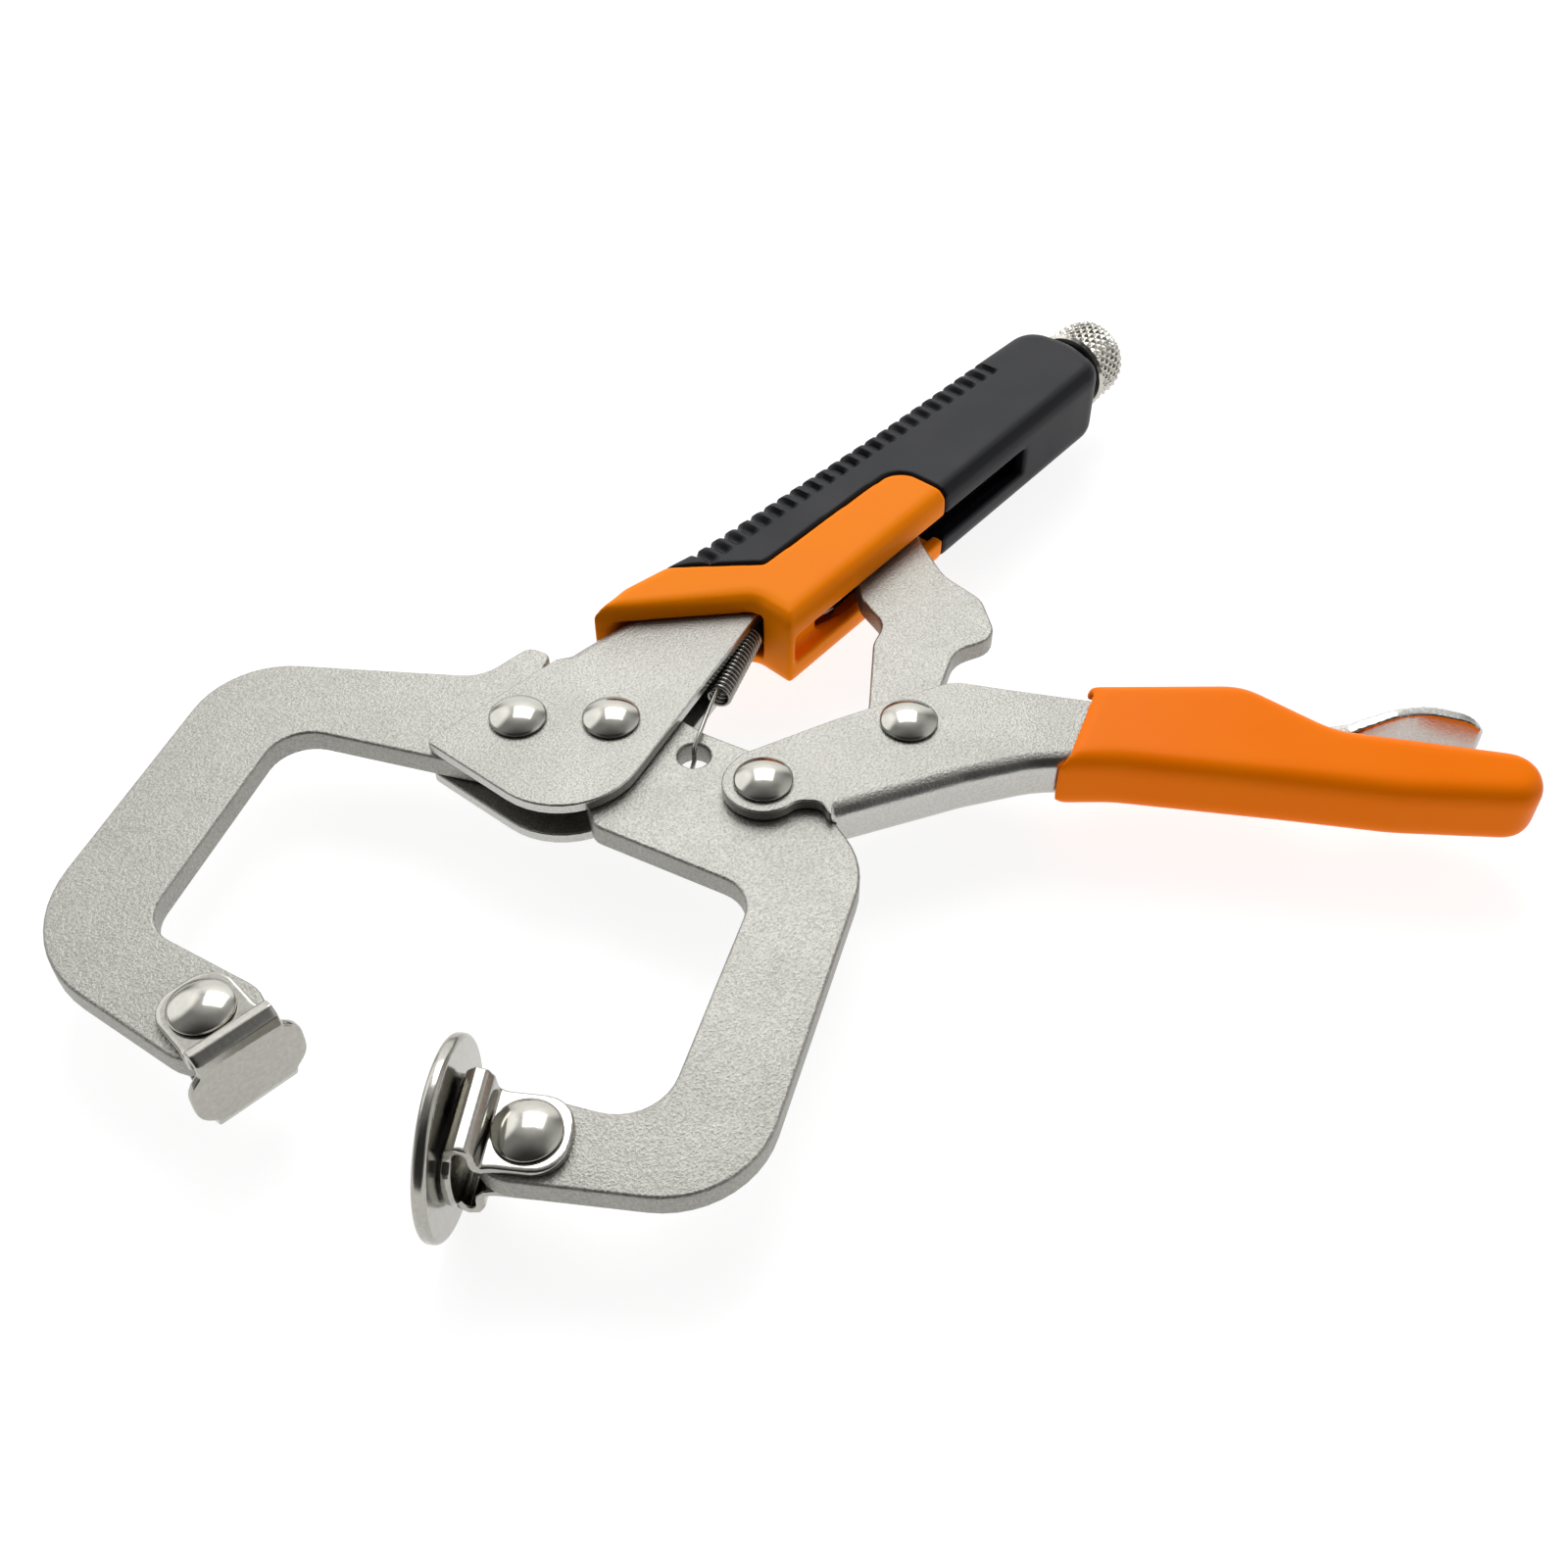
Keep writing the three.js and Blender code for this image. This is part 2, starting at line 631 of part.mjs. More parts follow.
// The bracket: two ears on the jaw, a hollow hump above and below, and the upright face.
function padBracket(name, face) {
  const earHeight = HALF_JAW + FACE_GAP + PAD_SHEET / 2;
  const plateX = face - PAD_SHEET / 2;
  const top = PAD_HEIGHT / 2 - PAD_SHEET / 2;
  const half = [
    [-7, earHeight],
    [plateX - 4.1, earHeight],
    [plateX - 3.5, earHeight + 0.8],
    [plateX - 3.3, top - 1.4],
    [plateX - 2.6, top - 0.3],
    [plateX - 1.5, top],
    [plateX - 0.4, top - 0.9],
    [plateX, top - 2.2],
  ];
  const line = [...half, ...half.slice().reverse().map(([x, z]) => [x, -z])];
  const strip = foldedStrip(line, PAD_SHEET, PAD_EAR_WIDTH / 2);
  const earPlan = plate(rounded([
    [-HEAD_RADIUS - 1.4, -HEAD_RADIUS - 1.4, 6.3],
    [4, -HEAD_RADIUS - 1.4, 4],
    [face - 4.5, -PAD_EAR_WIDTH / 2, 2],
    [face + 1, -PAD_EAR_WIDTH / 2, 0],
    [face + 1, PAD_EAR_WIDTH / 2, 0],
    [face - 4.5, PAD_EAR_WIDTH / 2, 2],
    [4, HEAD_RADIUS + 1.4, 4],
    [-HEAD_RADIUS - 1.4, HEAD_RADIUS + 1.4, 6.3],
  ]), -20, 20);
  const upright = plate(rounded([
    [-PAD_WIDTH / 2, -6.2, 5],
    [PAD_WIDTH / 2, -6.2, 5],
    [PAD_WIDTH / 2, 6.2, 5],
    [-PAD_WIDTH / 2, 6.2, 5],
  ]), face - PAD_SHEET, face);
  upright.rotateY(Math.PI / 2).rotateX(Math.PI / 2);
  const solid = build([shared(strip, earPlan), upright], [hole(JAW_PIVOT)]);
  return piece(name, solid, POLISHED());
}

function padDisc() {
  const disc = barAlongX(DISC_FACE - DISC_THICKNESS, DISC_FACE, 0, DISC_RADIUS, 48);
  return piece("moving_pad_disc", disc, POLISHED());
}

// ---- Assembly ----
function group(pivot, angle, pieces) {
  const holder = new THREE.Group();
  holder.position.set(pivot.x, pivot.y, 0);
  holder.rotation.z = angle;
  holder.add(...pieces);
  return holder;
}

const padStack = HALF_JAW + FACE_GAP + PAD_SHEET;
const assembly = new THREE.Group();
assembly.add(
  upperChannel(),
  fixedJaw(),
  movingJaw(),
  ...upperGrip(),
  adjustingScrew(),
  adjustingKnob(),
  returnSpring(),
  springAnchor(),
  rivet("fixed_jaw_rivet", FIXED_RIVET, CHEEK_OUTSIDE),
  rivet("jaw_pivot_rivet", JAW_PIVOT, CHEEK_OUTSIDE),
  rivet("handle_pivot_rivet", HANDLE_PIVOT, CHEEK_OUTSIDE),
  rivet("fixed_pad_rivet", FIXED_PAD, padStack, PAD_HEAD_RADIUS),
  rivet("moving_pad_rivet", MOVING_PAD, padStack, PAD_HEAD_RADIUS),
  group(HANDLE_PIVOT, LOWER_ANGLE, [
    lowerChannel(),
    lowerSleeve(),
    toggleLink(),
    releaseLever(),
    leverPin(),
    rivet("link_rivet", LINK_PIVOT, CHEEK_OUTSIDE),
  ]),
  group(FIXED_PAD, FIXED_PAD_ANGLE, [padBracket("fixed_pad_bracket", PAD_FACE)]),
  group(MOVING_PAD, MOVING_PAD_ANGLE, [
    padBracket("moving_pad_bracket", DISC_FACE - DISC_THICKNESS - PART_LINE),
    padDisc(),
  ]),
);

const box = new THREE.Box3().setFromObject(assembly, true);
const middle = box.getCenter(new THREE.Vector3());
assembly.position.set(-middle.x, -middle.y, -box.min.z);

const pliers = new THREE.Group();
pliers.add(assembly);
export default pliers;
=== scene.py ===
"""Looks of a pair of C-clamp locking pliers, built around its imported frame.

Everything is in metres, in the frame's own axes: the tool lies on one side, +X runs along the
fixed handle and +Z along the rivets. Sizes in the classes below are in millimetres.
"""

import json
import logging
import math
from collections.abc import Callable, Iterable
from dataclasses import dataclass, field
from enum import Enum

import bmesh
import bpy
from mathutils import Matrix, Vector

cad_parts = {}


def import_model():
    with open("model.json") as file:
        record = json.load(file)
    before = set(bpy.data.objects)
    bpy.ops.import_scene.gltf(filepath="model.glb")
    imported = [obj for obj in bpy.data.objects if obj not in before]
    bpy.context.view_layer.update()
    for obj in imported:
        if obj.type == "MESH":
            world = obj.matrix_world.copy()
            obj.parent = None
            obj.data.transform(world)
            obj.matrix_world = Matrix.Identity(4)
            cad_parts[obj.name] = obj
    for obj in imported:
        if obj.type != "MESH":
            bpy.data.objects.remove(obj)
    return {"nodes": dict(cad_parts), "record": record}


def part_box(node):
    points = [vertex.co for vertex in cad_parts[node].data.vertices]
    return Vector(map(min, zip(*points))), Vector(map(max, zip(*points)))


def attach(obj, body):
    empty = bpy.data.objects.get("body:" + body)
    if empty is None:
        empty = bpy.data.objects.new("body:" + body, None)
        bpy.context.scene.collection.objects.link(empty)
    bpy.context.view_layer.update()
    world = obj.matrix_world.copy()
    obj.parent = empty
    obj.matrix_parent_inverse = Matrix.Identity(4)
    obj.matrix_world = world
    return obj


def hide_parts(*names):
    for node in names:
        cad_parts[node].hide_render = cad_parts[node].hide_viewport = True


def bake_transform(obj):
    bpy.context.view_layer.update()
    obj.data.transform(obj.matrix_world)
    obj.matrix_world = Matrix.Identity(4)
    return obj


LOG = logging.getLogger("pliers")
MM = 0.001
MERGE = 0.002 * MM  # points closer than this are one
UPRIGHT = 0.1  # a face whose normal rises less than this stands upright
FLAT = 0.9  # a face whose normal rises more than this lies flat
NOISE_SPAN = (0.3, 0.7)  # where most of a noise's values are
ROUND_CRISP_DEG = 60.0  # for domed and moulded pieces: only edges sharper than this stay crisp
SMOOTHING = 0.5  # how far a round of smoothing moves a point towards its neighbours
NODES: dict[str, bpy.types.Object] = {}  # the frame's nodes, by name
MADE: dict["Finish", bpy.types.Material] = {}  # the finishes built so far


# ---------------------------------------------------------------- materials


def to_linear(colour: str) -> tuple[float, float, float, float]:
    """Turns an sRGB hex colour into linear RGBA.

    Args:
        colour: "#RRGGBB".

    Returns:
        Red, green, blue and alpha as Blender's colour sockets take them.
    """
    parts = [int(colour[i : i + 2], 16) / 255 for i in (1, 3, 5)]
    linear = [c / 12.92 if c <= 0.04045 else ((c + 0.055) / 1.055) ** 2.4 for c in parts]
    return (linear[0], linear[1], linear[2], 1.0)


def add_node(tree: bpy.types.NodeTree, kind: str, inputs: dict | None = None, **settings: object):
    """Adds one node, sets it and links it.

    Args:
        tree: The node tree it goes in.
        kind: The node's type, such as "ShaderNodeBump".
        inputs: Value or output socket for each input, by name or number.
        settings: The node's own properties.

    Returns:
        The new node.
    """
    node = tree.nodes.new(kind)
    for name, value in settings.items():
        setattr(node, name, value)
    for name, value in (inputs or {}).items():
        if isinstance(value, bpy.types.NodeSocket):
            tree.links.new(value, node.inputs[name])
        else:
            node.inputs[name].default_value = value
    return node


def noise(
    tree: bpy.types.NodeTree,
    place: bpy.types.NodeSocket,
    size_mm: float,
    detail: float,
    roughness: float = 0.5,
) -> bpy.types.NodeSocket:
    """Adds a noise of a real size.

    Args:
        tree: The node tree it goes in.
        place: Socket with the place that it is looked up at.
        size_mm: Size of its largest spots.
        detail: How many times it is repeated at half the size.
        roughness: How strong each of those repeats is.

    Returns:
        The socket with its value.
    """
    scale = 1.0 / (size_mm * MM)
    node = add_node(
        tree,
        "ShaderNodeTexNoise",
        {"Vector": place, "Scale": scale, "Detail": detail, "Roughness": roughness},
    )
    return node.outputs["Fac"]


def new_material(name: str) -> tuple[bpy.types.Material, bpy.types.NodeTree, bpy.types.Node]:
    """Makes a material with its principled shader.

    Args:
        name: The material's name.

    Returns:
        The material, its node tree and its shader node.
    """
    material = bpy.data.materials.new(name)
    material.use_nodes = True
    tree = material.node_tree
    tree.nodes.clear()
    shader = add_node(tree, "ShaderNodeBsdfPrincipled")
    add_node(tree, "ShaderNodeOutputMaterial", {"Surface": shader.outputs["BSDF"]})
    return material, tree, shader


@dataclass(frozen=True)
class Surface:
    """What every finish shares: two tones, a gloss that varies slowly and a fine grain."""

    name: str
    light: str  # colour where the tone is lightest: a metal's grain peaks, a plastic's lighter mottle
    dark: str  # colour that its tone varies towards: painted shade in a metal's grain dips, a random mottle on a plastic
    roughness: float
    roughness_swing: float
    grain_mm: float
    grain_depth_mm: float

    def weave(
        self,
        tree: bpy.types.NodeTree,
        shader: bpy.types.Node,
        tone: bpy.types.NodeSocket,
        slow: bpy.types.NodeSocket,
        height: bpy.types.NodeSocket,
    ) -> None:
        """Links the noises to the shader's colour, roughness and normal.

        Args:
            tree: The material's node tree.
            shader: Its principled shader.
            tone: Mixes the dark and the light colour.
            slow: Varies the roughness.
            height: The grain's height.
        """
        colour = add_node(
            tree,
            "ShaderNodeMix",
            {0: tone, 6: to_linear(self.dark), 7: to_linear(self.light)},
            data_type="RGBA",
        )
        low, high = NOISE_SPAN
        gloss = add_node(
            tree,
            "ShaderNodeMapRange",
            {
                "Value": slow,
                "From Min": low,
                "From Max": high,
                "To Min": self.roughness - self.roughness_swing,
                "To Max": self.roughness + self.roughness_swing,
            },
        )
        bump = add_node(
            tree,
            "ShaderNodeBump",
            {"Height": height, "Distance": self.grain_depth_mm * MM, "Strength": 1.0},
        )
        tree.links.new(colour.outputs[2], shader.inputs["Base Color"])
        tree.links.new(gloss.outputs["Result"], shader.inputs["Roughness"])
        tree.links.new(bump.outputs["Normal"], shader.inputs["Normal"])


@dataclass(frozen=True)
class Metal(Surface):
    """A plated or bare steel surface: reflecting, with painted shade that darkens its colour in
    the dips of its grain.
    """

    cloud_mm: float = 9.0  # size of the slow changes of gloss

    def material(self) -> bpy.types.Material:
        """Builds the material on Object coordinates."""
        material, tree, shader = new_material(self.name)
        place = add_node(tree, "ShaderNodeTexCoord").outputs["Object"]
        grain = noise(tree, place, self.grain_mm, 3.0, 0.6)
        cloud = noise(tree, place, self.cloud_mm, 4.0)
        shader.inputs["Metallic"].default_value = 1.0
        # The grain's height also sets the tone, so its dips get painted shade.
        self.weave(tree, shader, grain, cloud, grain)
        return material


@dataclass(frozen=True)
class Polymer(Surface):
    """A moulded or dipped plastic: coloured, softly glossy, with a faint skin texture."""

    shine: float = 0.5  # strength of the skin's reflection; 0.5 is a clean plastic's
    glow: float = 0.0  # light it gives off itself
    mottle_mm: float = 14.0  # size of the slow changes of tone and gloss

    def material(self) -> bpy.types.Material:
        """Builds the material on Object coordinates."""
        material, tree, shader = new_material(self.name)
        place = add_node(tree, "ShaderNodeTexCoord").outputs["Object"]
        skin = noise(tree, place, self.grain_mm, 4.0, 0.55)
        mottle = noise(tree, place, self.mottle_mm, 3.0)
        shader.inputs["Specular IOR Level"].default_value = self.shine
        if self.glow:
            shader.inputs["Emission Color"].default_value = (1.0, 1.0, 1.0, 1.0)
            shader.inputs["Emission Strength"].default_value = self.glow
        self.weave(tree, shader, mottle, mottle, skin)
        return material


class Finish(Enum):
    """The finishes of the tool's pieces."""

    # Steel plate, grit-blasted and then nickel plated: a dull silver that sparkles finely.
    BLASTED_NICKEL = Metal(
        "blasted_nickel", "#BEBDB7", "#6E6D67", 0.46, 0.03, 0.45, 0.16, cloud_mm=12.0
    )
    # The same plating where the press tool rubbed the sheet smooth as it bent it.
    DRAWN_NICKEL = Metal(
        "drawn_nickel", "#CFCEC9", "#A3A29D", 0.24, 0.05, 0.45, 0.04, cloud_mm=6.0
    )
    # Tumbled and bright-plated steel: nearly a mirror, with a faint orange-peel.
    POLISHED_NICKEL = Metal(
        "polished_nickel", "#BDBBB3", "#ABA9A1", 0.13, 0.03, 1.1, 0.006, cloud_mm=4.0
    )
    # Pressed pads, bright-plated and a little rubbed by use.
    WORN_NICKEL = Metal(
        "worn_nickel", "#B9B7B0", "#98968F", 0.17, 0.05, 0.8, 0.008, cloud_mm=5.0
    )
    # Knurled bar, plated: the sharp ridges catch the light.
    KNURLED_NICKEL = Metal(
        "knurled_nickel", "#D3D0C8", "#B8B4AA", 0.22, 0.05, 0.5, 0.006, cloud_mm=3.0
    )
    # Cold-drawn spring wire, oiled: darker than the plates.
    SPRING_WIRE = Metal(
        "spring_wire", "#A9A7A1", "#7C7A75", 0.26, 0.06, 0.25, 0.004, cloud_mm=2.5
    )
    # Zinc-plated machine steel, for the screw and the pins.
    ZINC_STEEL = Metal("zinc_steel", "#B7B6B0", "#8E8D88", 0.3, 0.06, 0.4, 0.006)
    # Thermoplastic rubber moulded in a fine-textured tool: near black and softly shining.
    BLACK_RUBBER = Polymer(
        "black_moulded_rubber", "#15161C", "#101116", 0.43, 0.04, 0.45, 0.012, shine=0.16
    )
    # Moulded polypropylene: a saturated, satin orange.
    ORANGE_MOULDING = Polymer(
        "orange_moulding", "#FF8E00", "#FF8400", 0.34, 0.04, 0.6, 0.008, shine=0.05
    )
    # Vinyl dipped over the handle: smooth and slightly wavy, with a soft gloss.
    ORANGE_VINYL = Polymer(
        "orange_dipped_vinyl", "#FF8200", "#FF7800", 0.3, 0.04, 1.8, 0.014, shine=0.05
    )
    # White acrylic table, lit from below so that hardly a shadow shows on it.
    BACKDROP = Polymer(
        "lit_acrylic", "#8C8C8C", "#8B8B8B", 0.7, 0.02, 2.0, 0.001, shine=0.2, glow=0.86
    )


def dressed(finish: Finish) -> bpy.types.Material:
    """The material of a finish, built once."""
    if finish not in MADE:
        MADE[finish] = finish.value.material()
    return MADE[finish]


# ---------------------------------------------------------------- mesh tools


def copy_of(node: str) -> bmesh.types.BMesh:
    """Copies a frame node as one joined mesh with whole flat faces.

    Args:
        node: The node's name.

    Returns:
        A new bmesh, which the caller turns into a piece.
    """
    bm = bmesh.new()
    bm.from_mesh(NODES[node].data)
    bmesh.ops.remove_doubles(bm, verts=bm.verts, dist=MERGE)
    bmesh.ops.dissolve_limit(
        bm, angle_limit=math.radians(0.5), verts=bm.verts, edges=bm.edges
    )
    return bm


def middle_of(node: str) -> Vector:
    """The middle of a frame node's box."""
    low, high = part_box(node)
    return (Vector(low) + Vector(high)) / 2


def rim_edges(bm: bmesh.types.BMesh) -> list[bmesh.types.BMEdge]:
    """Edges where a plate's flat side meets the wall round its outline or its holes."""
    found = []
    for edge in bm.edges:
        if edge.is_manifold:
            slopes = sorted(abs(face.normal.z) for face in edge.link_faces)
            if slopes[0] < UPRIGHT and slopes[1] > FLAT:
                found.append(edge)
    return found


def round_over(bm: bmesh.types.BMesh, edges: list, radius_mm: float, segments: int = 3) -> None:
    """Rounds edges over.

    Args:
        bm: The mesh.
        edges: Its edges to round.
        radius_mm: How far the rounding reaches to each side.
        segments: Faces across the rounding.
    """
    bmesh.ops.bevel(
        bm,
        geom=edges,
        offset=radius_mm * MM,
        offset_type="OFFSET",
        affect="EDGES",
        segments=segments,
        profile=0.5,
        material=-1,
        clamp_overlap=False,
    )


def add_object(
    bm: bmesh.types.BMesh, name: str, finishes: Iterable[Finish]
) -> bpy.types.Object:
    """Turns a bmesh into a smooth-shaded object of the scene.

    Args:
        bm: The mesh, in the row frame, which is freed.
        name: The object's name.
        finishes: Its materials, by material index.

    Returns:
        The new object.
    """
    mesh = bpy.data.meshes.new(name)
    for face in bm.faces:
        face.smooth = True
    bm.to_mesh(mesh)
    bm.free()
    for finish in finishes:
        mesh.materials.append(dressed(finish))
    item = bpy.data.objects.new(name, mesh)
    bpy.context.scene.collection.objects.link(item)
    return item


def make_piece(
    bm: bmesh.types.BMesh,
    name: str,
    finishes: Iterable[Finish],
    body: str,
    nodes: Iterable[str],
    crisp_deg: float = 45.0,
) -> bpy.types.Object:
    """Turns a finished bmesh into a piece that stands for its frame nodes.

    Args:
        bm: The mesh, in the row frame, which is freed.
        name: The piece's name.
        finishes: Its materials, by material index.
        body: The frame body that it rides on.
        nodes: The frame nodes that it replaces.
        crisp_deg: Edges sharper than this stay crisp.

    Returns:
        The new object.
    """
    piece = add_object(bm, name, finishes)
    piece.data.set_sharp_from_angle(angle=math.radians(crisp_deg))
    flats = piece.modifiers.new("flat_faces", "WEIGHTED_NORMAL")
    flats.keep_sharp = True
    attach(piece, body)
    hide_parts(*nodes)
    LOG.info("%s: %d faces on %s", name, len(piece.data.polygons), body)
    return piece


def lathe(profile: list[tuple[float, float]], steps: int = 72) -> bmesh.types.BMesh:
    """Spins an outline round the Z axis.

    Args:
        profile: (radius, height) points in millimetres, starting and ending on the axis.
        steps: Faces round the axis.

    Returns:
        A closed bmesh round the origin.
    """
    bm = bmesh.new()
    points = [bm.verts.new((radius * MM, 0.0, height * MM)) for radius, height in profile]
    for first, second in zip(points, points[1:]):
        bm.edges.new((first, second))
    bmesh.ops.spin(
        bm,
        geom=bm.verts[:] + bm.edges[:],
        axis=(0, 0, 1),
        cent=(0, 0, 0),
        angle=math.tau,
        steps=steps,
        use_merge=True,
    )
    bmesh.ops.remove_doubles(bm, verts=bm.verts, dist=MERGE)
    bmesh.ops.recalc_face_normals(bm, faces=bm.faces)
    return bm


def remeshed(
    bm: bmesh.types.BMesh, voxel_mm: float, passes: int, angle: float = 0.0
) -> bmesh.types.BMesh:
    """Rebuilds a mesh from small even faces and softens it, as a mould does.

    Args:
        bm: The mesh, which is freed.
        voxel_mm: Size of the new faces.
        passes: Rounds of smoothing.
        angle: The piece's own direction round Z, which the new faces line up with.

    Returns:
        The new bmesh.
    """
    own_frame = Matrix.Rotation(-angle, 4, "Z")
    bmesh.ops.transform(bm, matrix=own_frame, verts=bm.verts)
    mesh = bpy.data.meshes.new("rough")
    bm.to_mesh(mesh)
    bm.free()
    rough = bpy.data.objects.new("rough", mesh)
    bpy.context.scene.collection.objects.link(rough)
    remesh = rough.modifiers.new("remesh", "REMESH")
    remesh.mode = "VOXEL"
    remesh.voxel_size = voxel_mm * MM
    smooth = rough.modifiers.new("smooth", "SMOOTH")
    smooth.factor = SMOOTHING
    smooth.iterations = passes
    graph = bpy.context.evaluated_depsgraph_get()
    done = bpy.data.meshes.new_from_object(rough.evaluated_get(graph))
    result = bmesh.new()
    result.from_mesh(done)
    bmesh.ops.transform(result, matrix=own_frame.inverted(), verts=result.verts)
    bpy.data.objects.remove(rough)
    bpy.data.meshes.remove(mesh)
    bpy.data.meshes.remove(done)
    return result


def sculpt(bm: bmesh.types.BMesh, push: Callable[[Vector, Vector], Vector]) -> None:
    """Moves each vertex by what a function of its place and normal says.

    Args:
        bm: The mesh.
        push: Takes a place and a normal in the mesh's own axes, and gives the move in metres.
    """
    bm.normal_update()
    moves = [(vert, push(vert.co, vert.normal)) for vert in bm.verts]
    for vert, move in moves:
        vert.co += move


def smooth_step(value: float, low: float, high: float) -> float:
    """0 below low, 1 above high, and a smooth rise between; falls instead where low > high."""
    part = min(max((value - low) / (high - low), 0.0), 1.0)
    return part * part * (3 - 2 * part)


# ---------------------------------------------------------------- the pieces


@dataclass
class Layout:
    """Where the jaw's pivot is, from the frame, and which way the handles run."""

    joints: dict
    mid_height: float = 0.0
    jaw_pivot: Vector = field(default_factory=Vector)
    lower_angle: float = math.radians(-50.5)  # the lower handle's direction

    def __post_init__(self) -> None:
        """Reads the jaw's pivot from the joints."""
        self.jaw_pivot = Vector(self.joints["jaw_close"]["pos_m"])
        self.mid_height = self.jaw_pivot.z

    def upper(self, place: Vector) -> Vector:
        """A place in millimetres from the jaw pivot, along the upper handle."""
        return (place - self.jaw_pivot) / MM

    def from_upper(self, x: float, y: float, z: float) -> Vector:
        """The row-frame place of millimetres from the jaw pivot."""
        return self.jaw_pivot + Vector((x, y, z)) * MM


@dataclass
class Jaws:
    """The two flat bars with rounded arrises."""

    edge_mm: float = 0.55

    def build(self) -> None:
        """Makes both bars."""
        for node, body in (("fixed_jaw", "frame"), ("moving_jaw", "moving_jaw")):
            bm = copy_of(node)
            round_over(bm, rim_edges(bm), self.edge_mm)
            make_piece(
                bm, f"{node}_bar", [Finish.BLASTED_NICKEL], body, [node]
            )


@dataclass
class Channels:
    """The two handles pressed from sheet, with a generous bend along the back."""

    layout: Layout
    bend_mm: float = 2.9
    run_in_mm: float = 0.8  # length over which a bend starts at a cut edge
    web_start_mm: float = 7.2  # jaw pivot to the upper channel's web
    edge_mm: float = 0.4
    cheek_gap_mm: float = 5.0  # the two cheeks stand further apart than this
    cheek_slope: float = 0.85  # faces that lie flatter than this are the cheeks' sides

    def bend_edges(self, bm: bmesh.types.BMesh) -> list[bmesh.types.BMEdge]:
        """Edges between a cheek's outer side and the folded back."""
        heights = [vert.co.z for vert in bm.verts]
        low, high = min(heights), max(heights)
        found = []
        for edge in rim_edges(bm):
            zs = [vert.co.z for vert in edge.verts]
            if not any(all(abs(z - side) < MERGE for z in zs) for side in (low, high)):
                continue
            for face in edge.link_faces:
                spans = [loop.vert.co.z for loop in face.loops]
                across = max(spans) - min(spans)
                if across > self.cheek_gap_mm * MM and abs(face.normal.z) < UPRIGHT:
                    found.append(edge)
                    break
        return found

    def part_web(self, bm: bmesh.types.BMesh) -> None:
        """Parts the upper channel's back where its web begins, ahead of which nothing is bent."""
        start = self.layout.from_upper(self.web_start_mm, 0.0, 0.0)
        geom = bm.verts[:] + bm.edges[:] + bm.faces[:]
        bmesh.ops.bisect_plane(
            bm, geom=geom, dist=MERGE, plane_co=start, plane_no=(1.0, 0.0, 0.0)
        )
        bm.normal_update()

    def trim_ends(self, bm: bmesh.types.BMesh) -> None:
        """Cuts the sheet just inside each end of its bends, where their rounding runs in."""
        bends = self.bend_edges(bm)
        used = [vert for edge in bends for vert in edge.verts]
        cuts = []
        for edge in bends:
            for vert in edge.verts:
                if used.count(vert) == 1 and vert.co.z > self.layout.mid_height:
                    along = (edge.other_vert(vert).co - vert.co).normalized()
                    cuts.append((vert.co + along * self.run_in_mm * MM, along))
        for place, along in cuts:
            geom = bm.verts[:] + bm.edges[:] + bm.faces[:]
            bmesh.ops.bisect_plane(bm, geom=geom, dist=MERGE, plane_co=place, plane_no=along)
        bm.normal_update()

    def build(self) -> None:
        """Makes both channels."""
        for node, body in (("fixed_handle_channel", "frame"), ("lower_handle", "lower_handle")):
            bm = copy_of(node)
            if body == "frame":
                self.part_web(bm)
            self.trim_ends(bm)
            round_over(bm, self.bend_edges(bm), self.bend_mm, segments=8)
            bm.normal_update()
            round_over(bm, rim_edges(bm), self.edge_mm)
            bm.normal_update()
            for face in bm.faces:
                face.material_index = 0 if abs(face.normal.z) > self.cheek_slope else 1
            make_piece(
                bm,
                f"{node}_sheet",
                [Finish.BLASTED_NICKEL, Finish.DRAWN_NICKEL],
                body,
                [node],
            )


@dataclass
class Linkage:
    """The toggle link and the release lever."""

    layout: Layout
    edge_mm: float = 0.5
    lever_voxel_mm: float = 0.3
    lever_passes: int = 8

    def build(self) -> None:
        """Makes the link and the lever."""
        link = copy_of("toggle_link")
        round_over(link, rim_edges(link), self.edge_mm)
        make_piece(
            link,
            "toggle_link_plate",
            [Finish.BLASTED_NICKEL],
            "toggle_link",
            ["toggle_link"],
        )
        lever = remeshed(
            copy_of("release_lever"),
            self.lever_voxel_mm,
            self.lever_passes,
            self.layout.lower_angle,
        )
        make_piece(
            lever,
            "release_lever_stamping",
            [Finish.DRAWN_NICKEL],
            "release_lever",
            ["release_lever"],
        )


